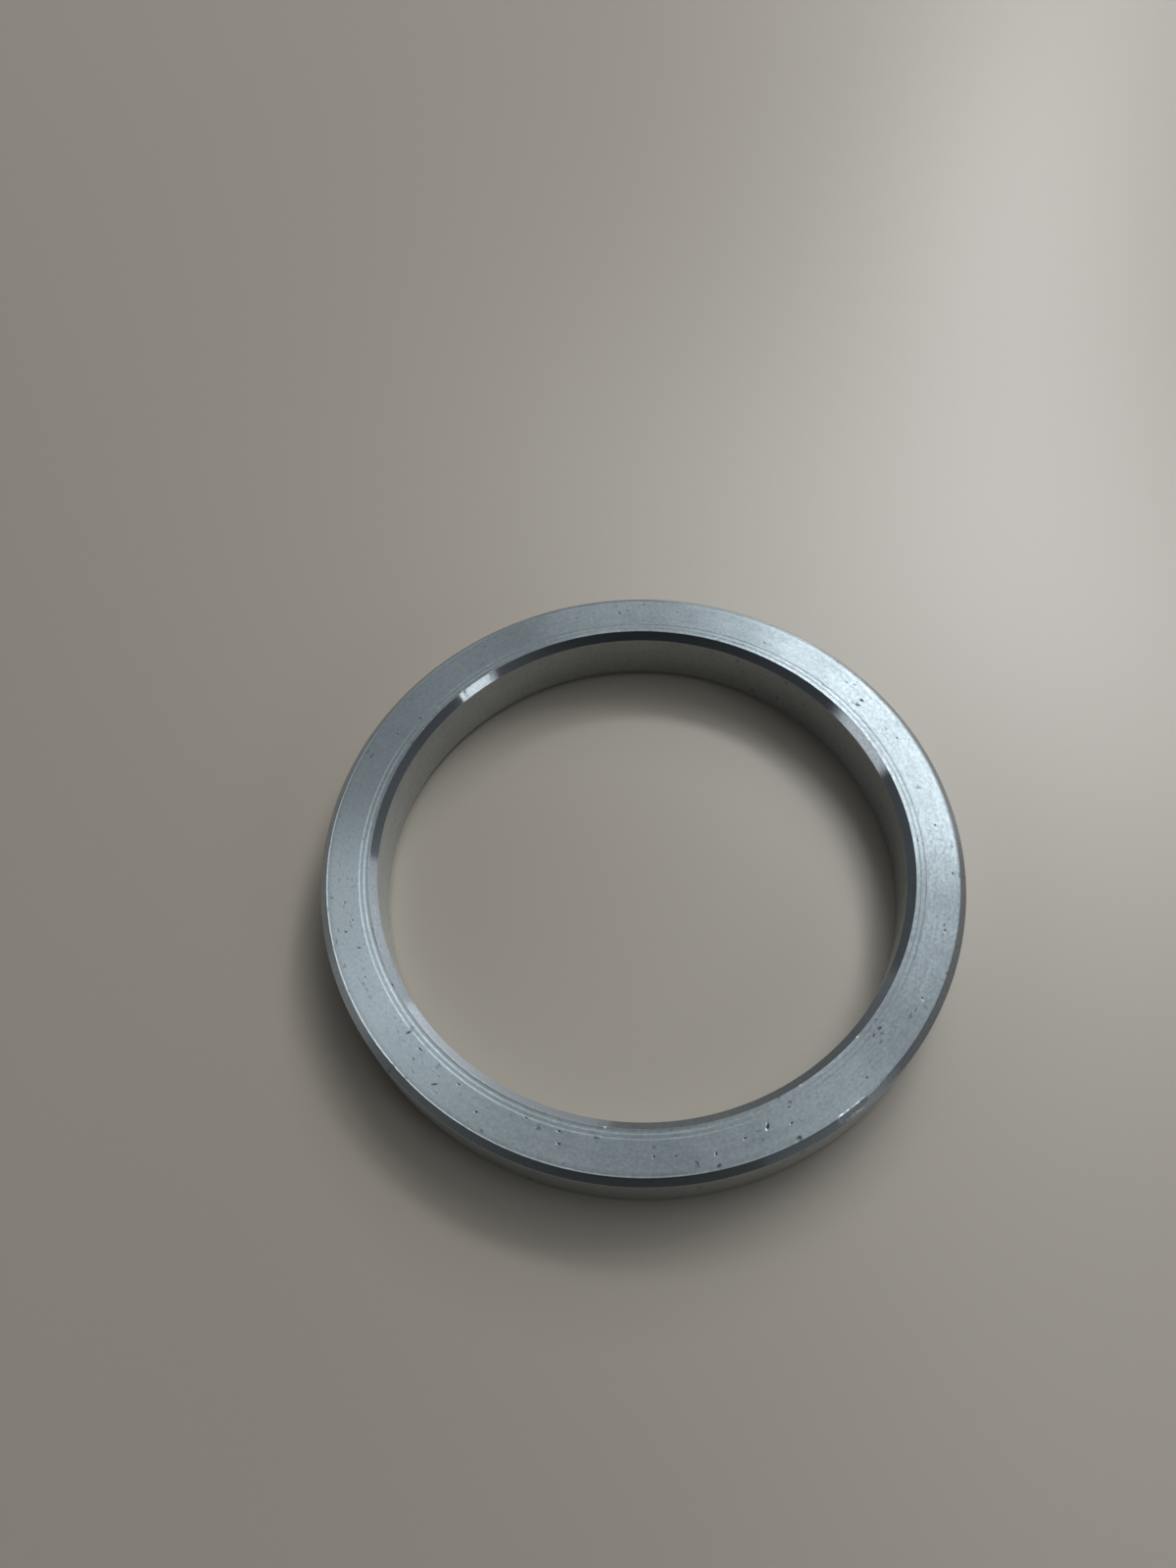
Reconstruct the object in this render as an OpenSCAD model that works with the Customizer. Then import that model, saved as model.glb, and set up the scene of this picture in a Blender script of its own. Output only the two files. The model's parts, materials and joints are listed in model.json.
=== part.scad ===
// Plain turned steel ring, of the kind that seats or spaces the insides of a wafer check valve.
// It is one solid of revolution: a flat ring with a straight bore, a straight rim and four
// chamfered corners. The origin is the centre of the lower face and +Z runs along the bore.

/* [Ring] */
// Outer diameter of the ring, across its rim
ring_d = 85; // [80:0.5:160]
// Diameter of the bore
bore_d = 70; // [40:0.5:74]
// Height of the ring, from its lower face to its upper face
ring_h = 10; // [5:0.5:40]

/* [Corners] */
// Chamfer at both mouths of the bore, measured along the radius and along the height
bore_chamfer = 1; // [0.2:0.1:1.4]
// Chamfer at both ends of the rim, measured along the radius and along the height
rim_chamfer = 0.9; // [0.2:0.1:1.4]

/* [Hidden] */
// Facets of the preview; the bore and the rim are true circles
$fn = 180;
ring_r = ring_d / 2;
bore_r = bore_d / 2;

// Half section of the ring in the X-Z plane, going round from the lower face
function ring_section() = [
    [bore_r + bore_chamfer, 0],
    [ring_r - rim_chamfer, 0],
    [ring_r, rim_chamfer],
    [ring_r, ring_h - rim_chamfer],
    [ring_r - rim_chamfer, ring_h],
    [bore_r + bore_chamfer, ring_h],
    [bore_r, ring_h - bore_chamfer],
    [bore_r, bore_chamfer]
];

// The whole ring, turned from one piece of bar
module seat_ring() {
    color("slategray")
        rotate_extrude()
            polygon(ring_section());
}

seat_ring();
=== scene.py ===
import json
import math
import random

import bmesh
import bpy
from mathutils import Matrix, Vector


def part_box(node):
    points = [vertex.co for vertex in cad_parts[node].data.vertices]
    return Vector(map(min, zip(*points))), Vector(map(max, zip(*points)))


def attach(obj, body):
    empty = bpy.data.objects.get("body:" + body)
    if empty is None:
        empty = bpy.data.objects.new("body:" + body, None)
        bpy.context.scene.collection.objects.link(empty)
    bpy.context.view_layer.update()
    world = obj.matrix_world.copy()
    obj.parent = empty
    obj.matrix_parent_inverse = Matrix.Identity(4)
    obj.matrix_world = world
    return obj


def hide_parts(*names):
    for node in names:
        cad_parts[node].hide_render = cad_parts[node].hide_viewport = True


# The looks of a plain turned steel seat ring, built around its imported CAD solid.
# Lengths named MM are in millimetres; Blender's own lengths are in metres.

MM = 0.001

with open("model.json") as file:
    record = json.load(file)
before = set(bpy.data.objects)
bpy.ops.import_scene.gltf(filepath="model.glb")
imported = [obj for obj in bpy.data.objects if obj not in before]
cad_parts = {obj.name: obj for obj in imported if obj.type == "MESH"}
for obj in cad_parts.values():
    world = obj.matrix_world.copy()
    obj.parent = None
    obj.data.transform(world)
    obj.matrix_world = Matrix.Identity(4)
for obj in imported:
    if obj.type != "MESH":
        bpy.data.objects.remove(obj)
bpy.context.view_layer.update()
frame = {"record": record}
ring_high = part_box("seat_ring")[1]
mounts = {mount["name"]: mount for mount in frame["record"]["mounts"]}

# Sizes of the ring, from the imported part
RIM_R = ring_high.x
TOP_Z = ring_high.z
BORE_R = mounts["bore"]["dims"]["r_mm"] * MM
BORE_CHAMFER = (TOP_Z - mounts["bore"]["dims"]["length_mm"] * MM) / 2
RIM_CHAMFER = (TOP_Z - mounts["rim"]["dims"]["length_mm"] * MM) / 2
FACE_MIDDLE = (BORE_R + RIM_R) / 2
# Steps round the full turn of the ring
AROUND = 480

chance = random.Random(7)


# ---------------------------------------------------------------- working in edit mode

def start_clean():
    """Object mode with nothing selected."""
    if bpy.context.object is not None and bpy.context.object.mode != "OBJECT":
        bpy.ops.object.mode_set(mode="OBJECT")
    bpy.ops.object.select_all(action="DESELECT")


def pick(piece, kind, wanted):
    """In edit mode, selects the vertices or faces whose place passes the test."""
    bpy.ops.mesh.select_mode(type=kind)
    bpy.ops.mesh.select_all(action="DESELECT")
    mesh = bmesh.from_edit_mesh(piece.data)
    found = 0
    for part in (mesh.verts if kind == "VERT" else mesh.faces):
        place = part.co if kind == "VERT" else part.calc_center_median()
        if wanted(place):
            part.select_set(True)
            found += 1
    mesh.select_flush_mode()
    bmesh.update_edit_mesh(piece.data)
    return found


def radius_of(place):
    """Distance from the ring's axis."""
    return math.hypot(place.x, place.y)


def angle_of(place):
    """Degrees round the ring, counted from +X towards +Y."""
    return math.degrees(math.atan2(place.y, place.x)) % 360


def on_ring(angle, radius, z):
    """The place at that angle round the ring, radius and height."""
    turn = math.radians(angle)
    return Vector((radius * math.cos(turn), radius * math.sin(turn), z))


# ---------------------------------------------------------------- the ring's half section

# The upper and lower face from the bore outwards: distance out from the bore chamfer's edge and
# depth below the ring's full height. A broad groove and two finer ones make the turned band.
BORE_BAND_MM = (
    (0.04, 0.034), (0.16, 0.054), (0.30, 0.065), (0.42, 0.066), (0.52, 0.064), (0.68, 0.037),
    (0.76, 0.032), (0.88, 0.036), (0.98, 0.031), (1.12, 0.040), (1.30, 0.010), (1.40, 0.007),
)
# Depth of the face's own edge, where the bore's chamfer begins
BORE_EDGE_DEPTH = 0.034 * MM
# A shallow groove that leaves a hair of metal standing along the rim's edge: distance in from the
# rim chamfer's edge, and depth
RIM_LIP_MM = ((0.42, 0.009), (0.34, 0.020), (0.22, 0.028), (0.08, 0.002))
# The rest of the face: how far it has been skimmed, and the feed lines in it
FACE_SKIM = 0.007 * MM
FACING_PITCH = 0.26 * MM
FACING_DEPTH = 0.0012 * MM
# Feed lines in the bore wall and the rim wall
WALL_PITCH = 0.42 * MM
WALL_DEPTH = 0.0014 * MM
# Least and most that a pitch is multiplied by, so that the lines aren't even
PITCH_LEAST = 0.8
PITCH_MOST = 1.2
# How much the corners are eased, on the rim's side and on the bore's
EDGE_ROUND = 0.06 * MM
BORE_EDGE_ROUND = 0.025 * MM
# Metal left off so that the spun mesh, rounded to its last digit, stays inside the CAD solid
SPIN_ALLOWANCE = 0.004 * MM
# Outline points within NEAR of a cut belong to it, and those within FACE_REACH of the top or the
# bottom are on a face
NEAR = 0.004 * MM
FACE_REACH = 0.07 * MM
# Points closer than this are one point
MERGE = 0.002 * MM


def half_section():
    """The outline of the ring's half section, standing on the X-Z plane."""
    start_clean()
    bpy.ops.mesh.primitive_plane_add(
        size=1, location=(FACE_MIDDLE, 0, TOP_Z / 2), rotation=(math.pi / 2, 0, 0))
    ring = bpy.context.object
    ring.name = ring.data.name = "ring_body"
    ring.scale = (RIM_R - BORE_R - SPIN_ALLOWANCE, TOP_Z - SPIN_ALLOWANCE, 1)
    bpy.ops.object.transform_apply(location=True, rotation=True, scale=True)
    bpy.ops.object.mode_set(mode="EDIT")
    pick(ring, "VERT", lambda p: p.x < FACE_MIDDLE)
    bpy.ops.mesh.bevel(offset=BORE_CHAMFER, affect="VERTICES", clamp_overlap=False)
    pick(ring, "VERT", lambda p: p.x > FACE_MIDDLE)
    bpy.ops.mesh.bevel(offset=RIM_CHAMFER, affect="VERTICES", clamp_overlap=False)
    pick(ring, "VERT", lambda p: p.x < FACE_MIDDLE)
    bpy.ops.mesh.bevel(offset=BORE_EDGE_ROUND, segments=2, affect="VERTICES", clamp_overlap=False)
    pick(ring, "VERT", lambda p: p.x > FACE_MIDDLE)
    bpy.ops.mesh.bevel(offset=EDGE_ROUND, segments=3, affect="VERTICES", clamp_overlap=False)
    bpy.ops.mesh.select_mode(type="FACE")
    bpy.ops.mesh.select_all(action="SELECT")
    bpy.ops.mesh.delete(type="ONLY_FACE")
    bpy.ops.mesh.select_mode(type="VERT")
    return ring


def cut_across(place, normal):
    """Adds points where a plane crosses the outline."""
    bpy.ops.mesh.select_all(action="SELECT")
    bpy.ops.mesh.bisect(plane_co=place, plane_no=normal)


def sink(ring, wanted, direction, depth):
    """Moves the picked outline points into the metal."""
    if pick(ring, "VERT", wanted):
        bpy.ops.transform.translate(value=Vector(direction) * depth)


def cut_marks(ring):
    """Tool marks as real steps: the band beside the bore, the facing feed and both walls."""
    inner_edge = BORE_R + BORE_CHAMFER
    outer_edge = RIM_R - RIM_CHAMFER
    grooves = [(inner_edge + out * MM, depth * MM) for out, depth in BORE_BAND_MM]
    at = grooves[-1][0] + FACING_PITCH
    while at < outer_edge - RIM_LIP_MM[0][0] * MM - FACING_PITCH / 2:
        grooves.append((at, FACE_SKIM + FACING_DEPTH * chance.random()))
        at += FACING_PITCH * chance.uniform(PITCH_LEAST, PITCH_MOST)
    grooves += [(outer_edge - back * MM, depth * MM) for back, depth in RIM_LIP_MM]
    for radius, depth in grooves:
        cut_across((radius, 0, 0), (1, 0, 0))
    for side, into in ((1, (0, 0, -1)), (-1, (0, 0, 1))):
        def on_face(p):
            return (p.z - TOP_Z / 2) * side > TOP_Z / 2 - FACE_REACH
        sink(ring, lambda p: on_face(p) and p.x < grooves[0][0] - NEAR, into, BORE_EDGE_DEPTH)
        for radius, depth in grooves:
            sink(ring, lambda p: on_face(p) and abs(p.x - radius) < NEAR, into, depth)
    z = max(BORE_CHAMFER, RIM_CHAMFER) + 2 * EDGE_ROUND
    while z < TOP_Z - max(BORE_CHAMFER, RIM_CHAMFER) - 1.5 * EDGE_ROUND:
        cut_across((0, 0, z), (0, 0, 1))
        bore_depth = WALL_DEPTH * chance.random()
        rim_depth = WALL_DEPTH * chance.random()
        sink(ring, lambda p: abs(p.z - z) < NEAR and p.x < BORE_R + NEAR, (1, 0, 0), bore_depth)
        sink(ring, lambda p: abs(p.z - z) < NEAR and p.x > RIM_R - NEAR, (-1, 0, 0), rim_depth)
        z += WALL_PITCH * chance.uniform(PITCH_LEAST, PITCH_MOST)


def turn_ring(ring):
    """Spins the outline once round the bore's axis and closes it."""
    bpy.ops.mesh.select_all(action="SELECT")
    bpy.ops.mesh.spin(steps=AROUND, angle=2 * math.pi, center=(0, 0, 0), axis=(0, 0, 1))
    bpy.ops.mesh.select_all(action="SELECT")
    bpy.ops.mesh.remove_doubles(threshold=MERGE)
    bpy.ops.mesh.normals_make_consistent(inside=False)


# ---------------------------------------------------------------- marks of handling

# Pits in the upper face: degrees round the ring, radius, length and width in mm, and how far
# the long way leans from the direction of the cut, in degrees
PITS = (
    (37.5, 39.25, 0.62, 0.46, 20), (26.5, 39.6, 0.34, 0.19, 0), (191, 39.2, 0.44, 0.18, 60),
    (195, 38.5, 0.46, 0.19, 40), (197, 39.6, 0.44, 0.19, 70), (201, 38.4, 0.54, 0.19, 50),
    (207, 38.9, 0.40, 0.18, 20), (221, 37.7, 0.85, 0.18, 80), (225, 37.9, 0.60, 0.22, 10),
    (225.5, 39.3, 0.36, 0.18, 0), (231.5, 39.7, 0.95, 0.21, 50), (235, 37.9, 0.40, 0.19, 0),
    (240.5, 39.4, 0.46, 0.22, 30), (249, 37.4, 0.50, 0.19, 0), (256, 39.0, 0.56, 0.22, 20),
    (255.5, 37.6, 0.50, 0.24, 0), (272.5, 39.2, 0.52, 0.21, 70), (283, 39.7, 0.54, 0.22, 80),
    (288.5, 38.9, 0.42, 0.21, 0), (293, 38.5, 0.95, 0.29, 60), (297, 39.3, 0.44, 0.19, 30),
    (298, 37.6, 0.42, 0.19, 0), (312.5, 40.1, 0.44, 0.21, 0), (330.5, 39.9, 0.44, 0.21, 60),
    (344.5, 40.0, 0.40, 0.19, 0), (356, 40.6, 0.44, 0.21, 0), (62, 38.3, 0.36, 0.18, 0),
    (104, 39.5, 0.36, 0.18, 30), (152, 38.8, 0.36, 0.19, 0),
)
PIT_DEPTH = 0.05 * MM
# A pit goes down in two steps; shares of its size: the whole, the second step and the dull metal
PIT_WHOLE = 1.0
PIT_BOTTOM = 0.62
PIT_DULL = 0.75
# Metal divided finely beyond each end of a pit, and the depth below the top that is still face
PIT_MARGIN = 0.25 * MM
PIT_LAYER = 0.2 * MM
# Specks of burr left along the bore's upper edge: degrees round the ring
BURRS = (29, 127, 135, 138.5, 145, 148, 197.6, 198.6, 199.4, 200.4, 201.6, 206, 211, 263.5, 302,
         317)
# A burr stands this far out from the bore chamfer's edge, on metal divided finely round it
BURR_OUT = 0.07 * MM
BURR_MARGIN = 0.36 * MM
# Radius of its tip, radius of its foot, and its height as a share of the sunk edge's depth
BURR_TIP = 0.075 * MM
BURR_FOOT = 0.17 * MM
BURR_RISE = 0.9
# Least and most that a foot's radius is multiplied by
BURR_LEAST = 0.8
BURR_MOST = 1.3
# Where the rim's upper corner has been struck: first and last degree, and degrees of finer metal
# beyond each
SCAR = (304, 310.5)
SCAR_MARGIN = 0.6
# Shares of the rim chamfer, measured down from the top: as far as the blow may reach, where it is
# deepest, and how far it spreads from there
SCAR_REACH = 1.15
SCAR_MIDDLE = 0.25
SCAR_SPREAD = 0.55
# How far the blow goes over the upper face's edge, and how deep it presses
SCAR_OVER = 0.25 * MM
SCAR_DEPTH = 0.14 * MM
# Wear from here up has the struck finish
STRUCK_WEAR = 0.15
GRIT_SIZE = 0.00035
# Cuts across a face's side where small marks need finer metal
MARK_CUTS = 3
SCAR_CUTS = 5
# The ring's finishes, in the order of its material slots; bright is the burrs' painted glint
FINISHES = ("face", "wall", "chamfer", "pit", "bright", "struck")


def refine(ring, wanted, cuts):
    """Divides the picked faces into smaller ones."""
    if pick(ring, "FACE", wanted):
        bpy.ops.mesh.subdivide(number_cuts=cuts)


def finish_picked(ring, finish):
    """In edit mode, gives the picked faces one of the ring's finishes."""
    bpy.ops.mesh.select_mode(type="FACE")
    ring.active_material_index = FINISHES.index(finish)
    bpy.ops.object.material_slot_assign()


def sink_pit(ring, angle, radius, length, width, lean):
    """One small ragged pit in the upper face, with dull metal at its bottom."""
    middle = on_ring(angle, radius * MM, TOP_Z)
    turn = math.radians(angle + 90 + lean)
    along = Vector((math.cos(turn), math.sin(turn), 0))
    across = Vector((-along.y, along.x, 0))
    half_long = length * MM / 2
    half_wide = width * MM / 2

    def reach(place):
        off = place - middle
        return math.hypot(off.dot(along) / half_long, off.dot(across) / half_wide)

    def near_top(place):
        return place.z > TOP_Z - PIT_LAYER

    refine(ring, lambda p: near_top(p) and (p - middle).length < half_long + PIT_MARGIN, MARK_CUTS)
    for share in (PIT_WHOLE, PIT_BOTTOM):
        if pick(ring, "VERT", lambda p: near_top(p) and reach(p) < share):
            bpy.ops.transform.translate(value=(0, 0, -PIT_DEPTH / 2))
    if pick(ring, "FACE", lambda p: near_top(p) and reach(p) < PIT_DULL):
        finish_picked(ring, "pit")


def raise_burr(ring, angle):
    """One speck of burr standing on the bore's upper edge: real raised metal, its near-white finish
    a painted glint.
    """
    peak = on_ring(angle, BORE_R + BORE_CHAMFER + BURR_OUT, TOP_Z - BORE_EDGE_DEPTH)
    refine(ring, lambda p: (p - peak).length < BURR_MARGIN, MARK_CUTS)
    spread = BURR_FOOT * chance.uniform(BURR_LEAST, BURR_MOST)
    if pick(ring, "VERT", lambda p: (p - peak).length < BURR_TIP):
        bpy.ops.transform.translate(
            value=(0, 0, BORE_EDGE_DEPTH * BURR_RISE), use_proportional_edit=True,
            proportional_edit_falloff="LINEAR", proportional_size=spread)
    # The burr's faces take the near-white finish, a painted glint on the raised metal
    if pick(ring, "FACE", lambda p: (p - peak).length < spread):
        finish_picked(ring, "bright")


def strike_rim(ring):
    """The rough bright dent in the rim's upper corner, pressed in by a clouded displacement."""
    first, last = SCAR
    corner = RIM_R - RIM_CHAMFER

    def in_scar(p, edge=0.0):
        return (first - edge < angle_of(p) < last + edge
                and p.z > TOP_Z - RIM_CHAMFER * SCAR_REACH
                and radius_of(p) > corner - SCAR_OVER)

    def wear_at(p):
        """1 at the middle of the blow, 0 at its ends and its upper and lower limits."""
        share = (angle_of(p) - first) / (last - first)
        reach = (p.z - (TOP_Z - SCAR_MIDDLE * RIM_CHAMFER)) / (SCAR_SPREAD * RIM_CHAMFER)
        return math.sin(math.pi * share) * max(0.0, 1 - reach ** 2)

    refine(ring, lambda p: in_scar(p, SCAR_MARGIN), SCAR_CUTS)
    pick(ring, "VERT", in_scar)
    bpy.ops.object.mode_set(mode="OBJECT")
    struck = ring.vertex_groups.new(name="struck")
    for vertex in ring.data.vertices:
        if vertex.select:
            struck.add([vertex.index], wear_at(vertex.co), "REPLACE")
    grit = bpy.data.textures.new("grit", "CLOUDS")
    grit.noise_scale = GRIT_SIZE
    grit.noise_depth = 3
    press = ring.modifiers.new("press", "DISPLACE")
    press.texture = grit
    press.texture_coords = "LOCAL"
    press.vertex_group = "struck"
    press.strength = SCAR_DEPTH
    press.mid_level = 1.0
    bpy.ops.object.modifier_apply(modifier="press")
    ring.vertex_groups.clear()
    bpy.ops.object.mode_set(mode="EDIT")
    if pick(ring, "FACE", lambda p: in_scar(p) and wear_at(p) > STRUCK_WEAR):
        finish_picked(ring, "struck")


ring = half_section()
cut_marks(ring)
turn_ring(ring)
start_clean()


# ---------------------------------------------------------------- shared shader groups

# The span of a noise's values that is stretched to run from 0 to 1
NOISE_LOW = 0.3
NOISE_HIGH = 0.7
# The broad lines of the tool, as a share of the fine lines' count
BROAD_SHARE = 0.17
# Clouds per metre in the slow change of tone
CLOUD_SCALE = 260.0
# Flecks: how much a step up the wall counts beside a step outwards, how ragged they are and how
# finely, the least and greatest reach of one from its middle, in cells of the pattern, and the
# strength of the palest
FLECK_RISE = 0.6
FLECK_RAGGED = 0.9
FLECK_WOBBLE = 2.2
FLECK_LEAST = 0.14
FLECK_MOST = 0.36
FLECK_PALEST = 0.3


def add(tree, kind, **settings):
    """A new node with its settings."""
    node = tree.nodes.new(kind)
    for name, value in settings.items():
        setattr(node, name, value)
    return node


def put(tree, value, socket):
    """Links a socket, or sets a plain number or colour."""
    if isinstance(value, bpy.types.NodeSocket):
        tree.links.new(value, socket)
    else:
        socket.default_value = value


def sum_of(tree, operation, *values):
    """A math node on numbers or sockets, and its result."""
    node = add(tree, "ShaderNodeMath", operation=operation)
    for value, socket in zip(values, node.inputs):
        put(tree, value, socket)
    return node.outputs[0]


def between(tree, value, low, high, to_low=0.0, to_high=1.0):
    """Maps a number from one span to another and stops at both ends."""
    node = add(tree, "ShaderNodeMapRange")
    for item, socket in zip((value, low, high, to_low, to_high), node.inputs):
        put(tree, item, socket)
    return node.outputs[0]


def noise_of(tree, place, scale, detail=2.0, fourth=None):
    """Noise at a place, in three dimensions or with a fourth number."""
    node = add(tree, "ShaderNodeTexNoise", noise_dimensions="3D" if fourth is None else "4D")
    put(tree, place, node.inputs["Vector"])
    put(tree, scale, node.inputs["Scale"])
    put(tree, detail, node.inputs["Detail"])
    if fourth is not None:
        put(tree, fourth, node.inputs["W"])
    return node.outputs["Fac"]


def vector_of(tree, x, y, z):
    """A vector from three numbers or sockets."""
    node = add(tree, "ShaderNodeCombineXYZ")
    for value, socket in zip((x, y, z), node.inputs):
        put(tree, value, socket)
    return node.outputs[0]


def new_group(name, ins, outs):
    """A shader group with named sockets: ins and outs are (name, kind, default) and (name, kind)."""
    tree = bpy.data.node_groups.new(name, "ShaderNodeTree")
    for label, kind, default in ins:
        socket = tree.interface.new_socket(label, in_out="INPUT", socket_type="NodeSocket" + kind)
        if default is not None:
            socket.default_value = default
    for label, kind in outs:
        tree.interface.new_socket(label, in_out="OUTPUT", socket_type="NodeSocket" + kind)
    given = add(tree, "NodeGroupInput").outputs
    result = add(tree, "NodeGroupOutput").inputs
    return tree, given, result


def ring_coordinates():
    """Object coordinates unrolled round the bore: along the cut, out from the axis, and height."""
    tree, given, result = new_group(
        "ring_coordinates", [("Place", "Vector", None)],
        [("Unrolled", "Vector"), ("Radius", "Float"), ("Height", "Float"), ("Turn", "Vector"),
         ("Degrees", "Float")])
    parts = add(tree, "ShaderNodeSeparateXYZ")
    tree.links.new(given["Place"], parts.inputs[0])
    x, y, z = parts.outputs
    radius = sum_of(tree, "SQRT", sum_of(tree, "ADD", sum_of(tree, "MULTIPLY", x, x),
                                         sum_of(tree, "MULTIPLY", y, y)))
    behind = sum_of(tree, "MULTIPLY", y, -1.0)
    angle = sum_of(tree, "ARCTAN2", x, behind)
    tree.links.new(vector_of(tree, sum_of(tree, "MULTIPLY", angle, FACE_MIDDLE), radius, z),
                   result["Unrolled"])
    tree.links.new(radius, result["Radius"])
    tree.links.new(z, result["Height"])
    tree.links.new(vector_of(tree, sum_of(tree, "DIVIDE", x, radius),
                             sum_of(tree, "DIVIDE", y, radius), 0.0), result["Turn"])
    tree.links.new(sum_of(tree, "MULTIPLY", angle, 180 / math.pi), result["Degrees"])
    return tree


def tool_marks():
    """Fine lines left by the tool, running round the ring, broken up a little along their length."""
    tree, given, result = new_group(
        "tool_marks",
        [("Turn", "Vector", None), ("Across", "Float", 0.0), ("Pitch", "Float", 0.0001),
         ("Broken", "Float", 1.0)],
        [("Line", "Float"), ("Broad", "Float")])
    step = sum_of(tree, "DIVIDE", given["Across"], given["Pitch"])
    around = add(tree, "ShaderNodeVectorMath", operation="SCALE")
    tree.links.new(given["Turn"], around.inputs[0])
    tree.links.new(given["Broken"], around.inputs["Scale"])
    fine = noise_of(tree, around.outputs[0], 1.0, 1.0, step)
    slow = sum_of(tree, "MULTIPLY", step, BROAD_SHARE)
    broad = noise_of(tree, around.outputs[0], 1.0, 2.0, slow)
    tree.links.new(between(tree, fine, NOISE_LOW, NOISE_HIGH), result["Line"])
    tree.links.new(between(tree, broad, NOISE_LOW, NOISE_HIGH), result["Broad"])
    return tree


def fine_grain():
    """Small uneven grain of cut steel, drawn out along the cut, and a slow cloudy change."""
    tree, given, result = new_group(
        "fine_grain",
        [("Unrolled", "Vector", None), ("Size", "Float", 0.0002), ("Drawn Out", "Float", 2.0)],
        [("Grain", "Float"), ("Cloud", "Float")])
    along = sum_of(tree, "DIVIDE", 1.0, sum_of(tree, "MULTIPLY", given["Size"], given["Drawn Out"]))
    over = sum_of(tree, "DIVIDE", 1.0, given["Size"])
    stretch = add(tree, "ShaderNodeVectorMath", operation="MULTIPLY")
    tree.links.new(given["Unrolled"], stretch.inputs[0])
    tree.links.new(vector_of(tree, along, over, over), stretch.inputs[1])
    grain = noise_of(tree, stretch.outputs[0], 1.0, 3.0)
    cloud = noise_of(tree, given["Unrolled"], CLOUD_SCALE, 3.0)
    tree.links.new(between(tree, grain, NOISE_LOW, NOISE_HIGH), result["Grain"])
    tree.links.new(between(tree, cloud, NOISE_LOW, NOISE_HIGH), result["Cloud"])
    return tree


def pitting():
    """Small dark pits and flecks, longer along the cut than across it."""
    tree, given, result = new_group(
        "pitting",
        [("Unrolled", "Vector", None), ("Size", "Float", 0.0006), ("Share", "Float", 0.1),
         ("Drawn Out", "Float", 2.0)],
        [("Pit", "Float")])
    parts = add(tree, "ShaderNodeSeparateXYZ")
    tree.links.new(given["Unrolled"], parts.inputs[0])
    along = sum_of(tree, "DIVIDE", parts.outputs[0],
                   sum_of(tree, "MULTIPLY", given["Size"], given["Drawn Out"]))
    across = sum_of(tree, "ADD", parts.outputs[1],
                    sum_of(tree, "MULTIPLY", parts.outputs[2], FLECK_RISE))
    flat = vector_of(tree, along, sum_of(tree, "DIVIDE", across, given["Size"]), 0.0)
    wobble = add(tree, "ShaderNodeTexNoise")
    tree.links.new(flat, wobble.inputs["Vector"])
    wobble.inputs["Scale"].default_value = FLECK_WOBBLE
    ragged = add(tree, "ShaderNodeVectorMath", operation="MULTIPLY_ADD")
    tree.links.new(wobble.outputs["Color"], ragged.inputs[0])
    ragged.inputs[1].default_value = (FLECK_RAGGED, FLECK_RAGGED, 0.0)
    tree.links.new(flat, ragged.inputs[2])
    cells = add(tree, "ShaderNodeTexVoronoi", feature="F1", voronoi_dimensions="2D")
    tree.links.new(ragged.outputs[0], cells.inputs["Vector"])
    cells.inputs["Scale"].default_value = 1.0
    lot = add(tree, "ShaderNodeSeparateColor")
    tree.links.new(cells.outputs["Color"], lot.inputs[0])
    reach = between(tree, lot.outputs[2], 0.0, 1.0, FLECK_LEAST, FLECK_MOST)
    spot = between(tree, cells.outputs["Distance"], sum_of(tree, "MULTIPLY", reach, 0.5), reach,
                   1.0, 0.0)
    chosen = sum_of(tree, "LESS_THAN", lot.outputs[0], given["Share"])
    weight = between(tree, lot.outputs[1], 0.0, 1.0, FLECK_PALEST, 1.0)
    tree.links.new(sum_of(tree, "MULTIPLY", sum_of(tree, "MULTIPLY", spot, chosen), weight),
                   result["Pit"])
    return tree


COORDINATES = ring_coordinates()
TOOL_MARKS = tool_marks()
FINE_GRAIN = fine_grain()
PITTING = pitting()


# ---------------------------------------------------------------- materials

# Sizes in metres of the steel's grain, its small flecks and its large ones, each with how much
# longer it is along the cut than across it
GRAIN_SIZE, GRAIN_DRAWN = 0.00036, 1.3
SMALL_FLECK, SMALL_DRAWN = 0.00055, 1.8
LARGE_FLECK, LARGE_DRAWN = 0.0009, 1.3
# How often a line of the tool is broken round the ring
LINE_BROKEN = 1.5
# The rubbed stretch has more flecks: degrees from the near side where it begins and ends, each with
# its fade, the same for its radius, and the share of the extra flecks left beyond that
RUBBED_BEGINS = (-98, -82)
RUBBED_ENDS = (-40, -18)
RUBBED_IN = (0.0373, 0.0378)
RUBBED_OUT = (0.0384, 0.0402)
RUBBED_LEFT = 0.25
# Share of the flecks that there are everywhere, and of the large ones
FLECKS_EVERYWHERE = 0.10
LARGE_SHARE = 0.06
PIT_TONE = (0.09, 0.11, 0.12)


def new_material(name):
    """A material with nothing but its shader and output."""
    material = bpy.data.materials.new(name)
    material.use_nodes = True
    material.node_tree.nodes.clear()
    out = add(material.node_tree, "ShaderNodeOutputMaterial")
    shader = add(material.node_tree, "ShaderNodeBsdfPrincipled")
    material.node_tree.links.new(shader.outputs[0], out.inputs[0])
    return material, shader


def use_group(tree, group, **values):
    """Places a shared group and fills its inputs, with _ for a space in their names."""
    node = add(tree, "ShaderNodeGroup", node_tree=group)
    for name, value in values.items():
        put(tree, value, node.inputs[name.replace("_", " ")])
    return node.outputs


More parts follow.
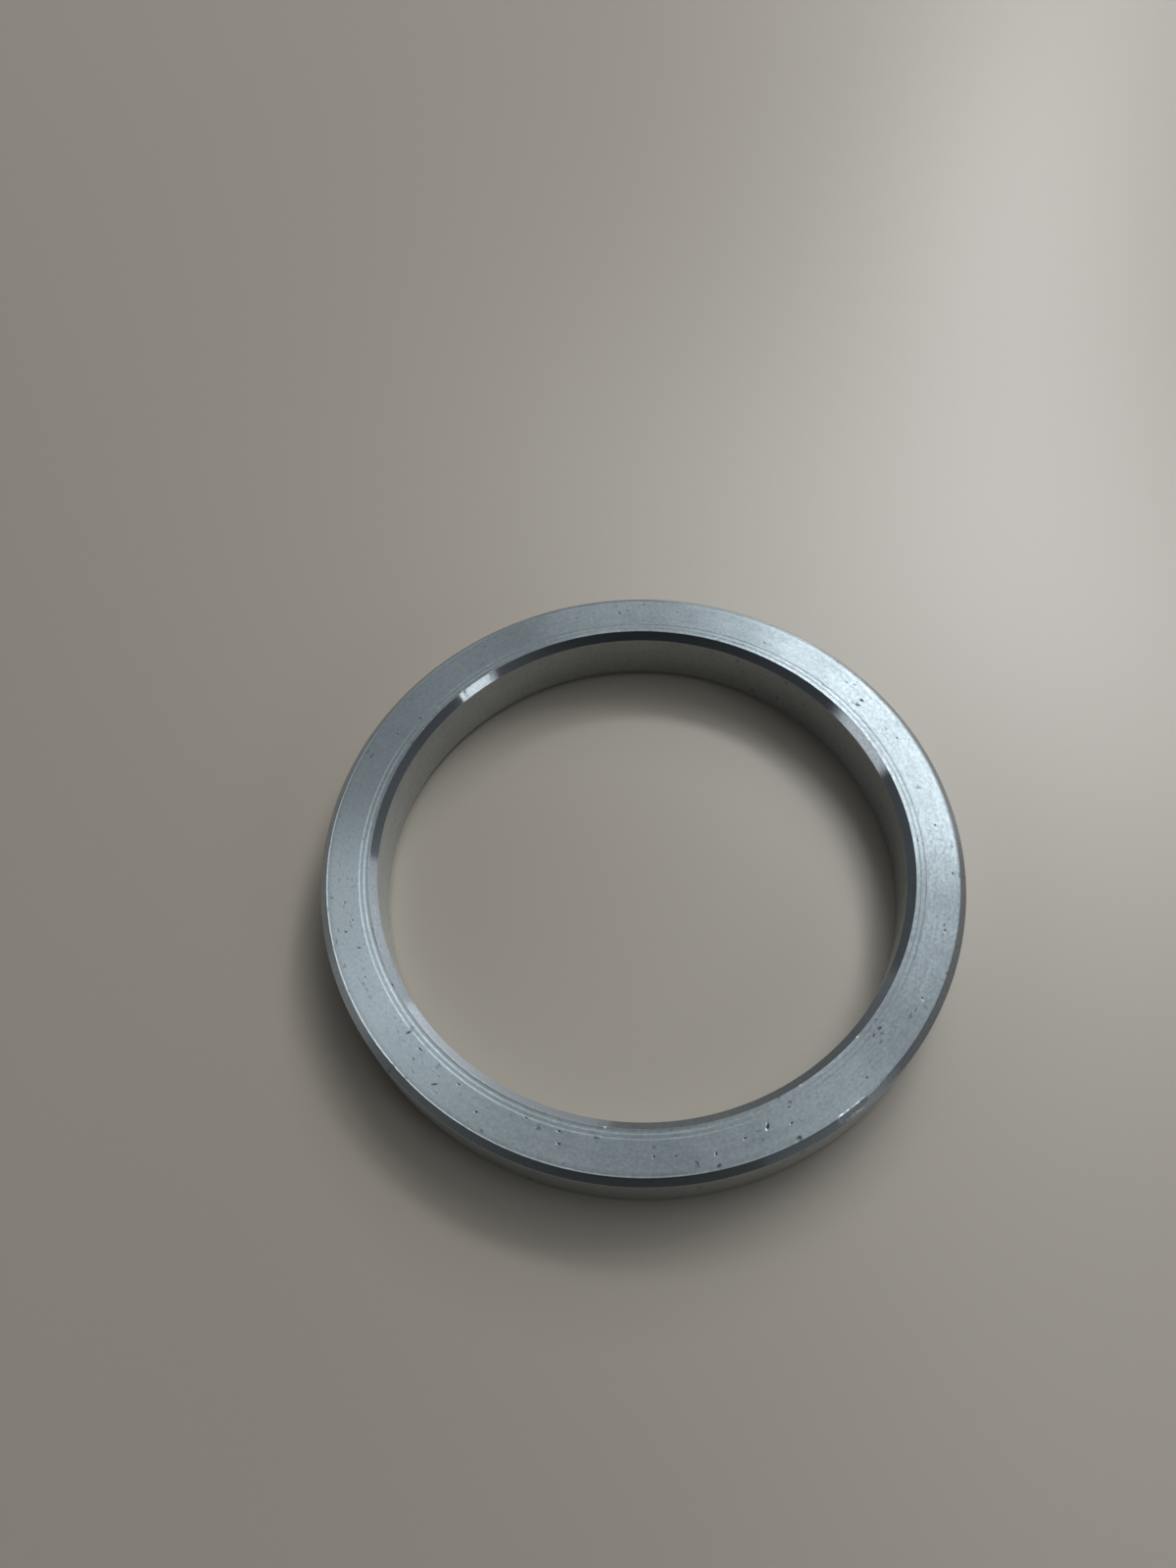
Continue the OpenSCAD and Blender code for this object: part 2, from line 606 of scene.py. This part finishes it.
def turned_steel(name, bright, dark, roughness, spread, across, pitch, flecks, bump):
    """Bare lathe-turned steel between a bright and a dark tone. spread is how far a highlight is
    smeared across the cut, across is Radius on a flat face and Height on a wall, pitch is the
    distance between fine lines, flecks their share, and bump the relief, both lengths in metres."""
    material, shader = new_material(name)
    tree = material.node_tree
    shader.inputs["Metallic"].default_value = 1
    shader.inputs["Anisotropic"].default_value = spread
    shader.inputs["Anisotropic Rotation"].default_value = 0.25
    tangent = add(tree, "ShaderNodeTangent", direction_type="RADIAL", axis="Z")
    tree.links.new(tangent.outputs[0], shader.inputs["Tangent"])
    place = add(tree, "ShaderNodeTexCoord").outputs["Object"]
    ring_at = use_group(tree, COORDINATES, Place=place)
    marks = use_group(tree, TOOL_MARKS, Turn=ring_at["Turn"], Across=ring_at[across],
                      Pitch=pitch, Broken=LINE_BROKEN)
    grain = use_group(tree, FINE_GRAIN, Unrolled=ring_at["Unrolled"], Size=GRAIN_SIZE,
                      Drawn_Out=GRAIN_DRAWN)
    # More flecks on the stretch that has been rubbed, fewer elsewhere
    rubbed = sum_of(tree, "MULTIPLY", between(tree, ring_at["Degrees"], *RUBBED_BEGINS),
                    between(tree, ring_at["Degrees"], *RUBBED_ENDS, 1.0, 0.0))
    inner = sum_of(tree, "MULTIPLY", between(tree, ring_at["Radius"], *RUBBED_IN),
                   between(tree, ring_at["Radius"], *RUBBED_OUT, 1.0, RUBBED_LEFT))
    crowd = sum_of(tree, "MULTIPLY", flecks,
                   sum_of(tree, "ADD", FLECKS_EVERYWHERE, sum_of(tree, "MULTIPLY", rubbed, inner)))
    small = use_group(tree, PITTING, Unrolled=ring_at["Unrolled"], Size=SMALL_FLECK, Share=crowd,
                      Drawn_Out=SMALL_DRAWN)
    large = use_group(tree, PITTING, Unrolled=ring_at["Unrolled"], Size=LARGE_FLECK,
                      Share=flecks * LARGE_SHARE, Drawn_Out=LARGE_DRAWN)
    fleck = sum_of(tree, "MAXIMUM", sum_of(tree, "MULTIPLY", small["Pit"], 0.7), large["Pit"])
    # Colour: between the dark and the bright tone by grain, cloud and tool lines, darker in flecks
    light = sum_of(tree, "ADD", sum_of(tree, "MULTIPLY", grain["Grain"], 0.60),
                   sum_of(tree, "ADD", sum_of(tree, "MULTIPLY", grain["Cloud"], 0.20),
                          sum_of(tree, "MULTIPLY", marks["Broad"], 0.20)))
    tone = add(tree, "ShaderNodeMix", data_type="RGBA")
    put(tree, light, tone.inputs[0])
    put(tree, (*dark, 1), tone.inputs[6])
    put(tree, (*bright, 1), tone.inputs[7])
    stained = add(tree, "ShaderNodeMix", data_type="RGBA")
    put(tree, sum_of(tree, "MULTIPLY", fleck, 0.8), stained.inputs[0])
    put(tree, tone.outputs[2], stained.inputs[6])
    put(tree, (*PIT_TONE, 1), stained.inputs[7])
    tree.links.new(stained.outputs[2], shader.inputs["Base Color"])
    rough = sum_of(tree, "ADD", between(tree, light, 0.2, 0.8, roughness * 1.1, roughness * 0.9),
                   sum_of(tree, "MULTIPLY", fleck, 0.2))
    tree.links.new(rough, shader.inputs["Roughness"])
    height = sum_of(tree, "ADD", sum_of(tree, "MULTIPLY", marks["Line"], 0.5),
                    sum_of(tree, "SUBTRACT", sum_of(tree, "MULTIPLY", grain["Grain"], 1.0),
                           sum_of(tree, "MULTIPLY", fleck, 3.0)))
    relief = add(tree, "ShaderNodeBump")
    relief.inputs["Strength"].default_value = 1.0
    relief.inputs["Distance"].default_value = bump
    tree.links.new(height, relief.inputs["Height"])
    tree.links.new(relief.outputs[0], shader.inputs["Normal"])
    return material


FACE_STEEL = turned_steel(
    "turned_face_steel", bright=(0.52, 0.61, 0.66), dark=(0.34, 0.41, 0.45), roughness=0.34,
    spread=1.0, across="Radius", pitch=0.00008, flecks=0.5, bump=0.0000022)
WALL_STEEL = turned_steel(
    "turned_wall_steel", bright=(0.54, 0.57, 0.57), dark=(0.37, 0.40, 0.40), roughness=0.34,
    spread=0.8, across="Height", pitch=0.00012, flecks=0.15, bump=0.0000018)
CHAMFER_STEEL = turned_steel(
    "chamfer_steel", bright=(0.57, 0.63, 0.69), dark=(0.45, 0.51, 0.56), roughness=0.17,
    spread=1.0, across="Height", pitch=0.00008, flecks=0.05, bump=0.0000008)
PIT_STEEL = turned_steel(
    "pit_steel", bright=(0.12, 0.14, 0.15), dark=(0.05, 0.06, 0.07), roughness=0.6,
    spread=0.0, across="Radius", pitch=0.00008, flecks=0.0, bump=0.000002)
# Burr steel: real raised metal, painted near-white as a glint, brighter than steel reflects
BURR_GLINT_STEEL = turned_steel(
    "burr_painted_glint_steel", bright=(0.92, 0.95, 0.97), dark=(0.55, 0.60, 0.64), roughness=0.35,
    spread=0.0, across="Radius", pitch=0.00008, flecks=0.0, bump=0.000002)
STRUCK_STEEL = turned_steel(
    "struck_steel", bright=(0.66, 0.72, 0.76), dark=(0.36, 0.42, 0.46), roughness=0.36,
    spread=0.0, across="Radius", pitch=0.00008, flecks=0.1, bump=0.000004)
# In the order of FINISHES
for steel in (FACE_STEEL, WALL_STEEL, CHAMFER_STEEL, PIT_STEEL, BURR_GLINT_STEEL, STRUCK_STEEL):
    ring.data.materials.append(steel)


def finish_by_normal(ring, finish, wanted):
    """In edit mode, the faces whose normal passes the test take that finish."""
    bpy.ops.mesh.select_mode(type="FACE")
    bpy.ops.mesh.select_all(action="DESELECT")
    mesh = bmesh.from_edit_mesh(ring.data)
    for face in mesh.faces:
        if wanted(face.normal):
            face.select_set(True)
    bmesh.update_edit_mesh(ring.data)
    finish_picked(ring, finish)


# How far a normal points up or down: less than WALL_TILT on a wall, more than FACE_TILT on a face
WALL_TILT = 0.3
FACE_TILT = 0.94
# Faces that meet at more than this many degrees keep a crisp edge, the band's slopes among them
CRISP_FROM = 6

ring.select_set(True)
bpy.context.view_layer.objects.active = ring
bpy.ops.object.mode_set(mode="EDIT")
finish_by_normal(ring, "wall", lambda normal: abs(normal.z) < WALL_TILT)
finish_by_normal(ring, "chamfer", lambda normal: WALL_TILT <= abs(normal.z) < FACE_TILT)
for pit in PITS:
    sink_pit(ring, *pit)
for burr in BURRS:
    raise_burr(ring, burr)
strike_rim(ring)
bpy.ops.object.mode_set(mode="OBJECT")
bpy.ops.object.shade_smooth_by_angle(angle=math.radians(CRISP_FROM))

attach(ring, "root")
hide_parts("seat_ring")

# ---------------------------------------------------------------- floor, lights, camera

FLOOR_SIZE = 3.2
FLOOR_TONE = (0.54, 0.50, 0.43)
FLOOR_ROUGHNESS = 0.36
FLOOR_GLOSS = 0.9
start_clean()
bpy.ops.mesh.primitive_plane_add(size=FLOOR_SIZE, location=(0, 0, 0))
floor = bpy.context.object
floor.name = "pale_floor"
floor_paint, shader = new_material("pale_floor_paint")
shader.inputs["Base Color"].default_value = (*FLOOR_TONE, 1)
shader.inputs["Roughness"].default_value = FLOOR_ROUGHNESS
shader.inputs["Specular IOR Level"].default_value = FLOOR_GLOSS
floor.data.materials.append(floor_paint)


def panel(name, place, aim, width, length, brightness, tone=(1, 1, 1)):
    """A plain rectangular soft box that shines from place towards aim, as bright at any size."""
    lamp = bpy.data.lights.new(name, "AREA")
    lamp.shape = "RECTANGLE"
    lamp.size = width
    lamp.size_y = length
    lamp.energy = brightness * math.pi * width * length
    lamp.color = tone
    box = bpy.data.objects.new(name, lamp)
    bpy.context.collection.objects.link(box)
    box.location = place
    box.rotation_euler = (Vector(aim) - Vector(place)).to_track_quat("-Z", "Y").to_euler()
    box.visible_camera = False
    return box


def wall_panel(name, azimuth, elevation, distance, width, height, brightness, tone=(1, 1, 1)):
    """A soft box that stands away from the ring in that direction and faces it."""
    a = math.radians(azimuth)
    e = math.radians(elevation)
    toward = Vector((math.cos(a) * math.cos(e), math.sin(a) * math.cos(e), math.sin(e)))
    return panel(name, toward * distance, (0, 0, 0), width, height, brightness, tone)


# Overhead panels hang CEILING above the floor and shine straight down. Their limits in X and Y are
# in heights of the ceiling, and a panel's brightness doesn't depend on its size.
CEILING = 1.2
for name, x_low, x_high, y_low, y_high, brightness in (
        ("strip_end", 0.46, 0.63, 1.42, 1.80, 14.0),
        ("strip_far", 0.46, 0.63, 1.05, 1.42, 8.0),
        ("strip_middle", 0.46, 0.63, 0.68, 1.05, 5.2),
        ("strip_near", 0.46, 0.63, 0.22, 0.68, 3.9),
        ("overhead_far", 0.125, 0.46, 1.00, 1.80, 0.9),
        ("overhead_middle", 0.125, 0.46, 0.43, 1.00, 2.25),
        ("overhead_near", 0.29, 0.46, -0.33, 0.43, 1.5),
        ("overhead_near_left", 0.125, 0.29, -0.33, 0.43, 0.4),
        ("overhead_right", 0.46, 0.64, -0.33, 0.22, 0.9),
        ("overhead_centre", -0.15, 0.125, 0.00, 0.36, 0.6)):
    middle = Vector(((x_low + x_high) / 2, (y_low + y_high) / 2, 1)) * CEILING
    below = middle - Vector((0, 0, 1))
    panel(name, middle, below, (x_high - x_low) * CEILING, (y_high - y_low) * CEILING, brightness)
# Standing panels: azimuth, elevation, distance, width, height, brightness
for name, azimuth, elevation, distance, width, height, brightness in (
        ("far_strip_right", 52, 47.5, 2.0, 0.80, 0.24, 7.3),
        ("far_strip_middle", 82, 47.5, 2.0, 0.80, 0.24, 4.8),
        ("far_strip_left", 110, 47.5, 2.0, 0.60, 0.24, 1.0),
        ("low_window_right", 42, 7.5, 2.0, 1.05, 0.52, 0.75),
        ("low_window_left", 72, 7.5, 2.0, 1.05, 0.52, 1.6),
        ("left_window", 110, 12, 2.0, 1.40, 0.70, 0.12),
        ("left_panel", 186, 28, 1.5, 0.49, 0.64, 0.8),
        ("right_panel", 329, 29, 1.5, 0.27, 0.30, 2.5)):
    wall_panel(name, azimuth, elevation, distance, width, height, brightness)
# One dim wall is cooler than the rest
COOL_TONE = (0.75, 0.95, 1.0)
wall_panel("near_right_wall", 318, 6, 1.5, 1.0, 0.3, 0.07, COOL_TONE)

# The air glows dimly near the floor line, less on the near side and less overhead; what shows
# behind the floor is as pale as the floor
AIR_LOW = 0.085
AIR_HIGH = 0.015
# Between these heights of the direction looked in, the air goes from its low to its high glow
AIR_RISE = (0.3, 0.7)
# Between these Y of the direction, from the near side on, it comes up from NEAR_SHARE to full
NEAR_SIDE = (-0.95, -0.6)
NEAR_SHARE = 0.3
AIR_TONE = (0.96, 1.0, 1.04, 1)
BACKDROP_TONE = (0.30, 0.29, 0.27, 1)
world = bpy.data.worlds.new("studio_air")
bpy.context.scene.world = world
world.use_nodes = True
air = world.node_tree
glow = air.nodes["Background"]
seen = add(air, "ShaderNodeLightPath").outputs["Is Camera Ray"]
way = add(air, "ShaderNodeSeparateXYZ")
air.links.new(add(air, "ShaderNodeTexCoord").outputs["Generated"], way.inputs[0])
level = sum_of(air, "MULTIPLY", between(air, way.outputs[2], *AIR_RISE, AIR_LOW, AIR_HIGH),
               between(air, way.outputs[1], *NEAR_SIDE, NEAR_SHARE, 1.0))
air.links.new(between(air, seen, 0.0, 1.0, level, 1.0), glow.inputs["Strength"])
shade = add(air, "ShaderNodeMix", data_type="RGBA")
put(air, seen, shade.inputs[0])
put(air, AIR_TONE, shade.inputs[6])
put(air, BACKDROP_TONE, shade.inputs[7])
air.links.new(shade.outputs[2], glow.inputs["Color"])

# The camera stands near the ring and looks steeply down at it
CAMERA_PLACE = Vector((0, -67.5, 151.2)) * MM
CAMERA_AIM = Vector((-7.6, 15.8, 0)) * MM
CAMERA_ROLL = -4.4
CAMERA_LENS = 27.1
SENSOR_WIDTH = 36
camera = bpy.data.objects.new("camera", bpy.data.cameras.new("camera"))
bpy.context.collection.objects.link(camera)
camera.data.lens = CAMERA_LENS
camera.data.sensor_width = SENSOR_WIDTH
camera.data.clip_start = 0.01
camera.location = CAMERA_PLACE
look = (CAMERA_AIM - CAMERA_PLACE).to_track_quat("-Z", "Y").to_matrix()
camera.rotation_euler = (look @ Matrix.Rotation(math.radians(CAMERA_ROLL), 3, "Z")).to_euler()
bpy.context.scene.camera = camera
bpy.context.scene.view_settings.view_transform = "Standard"
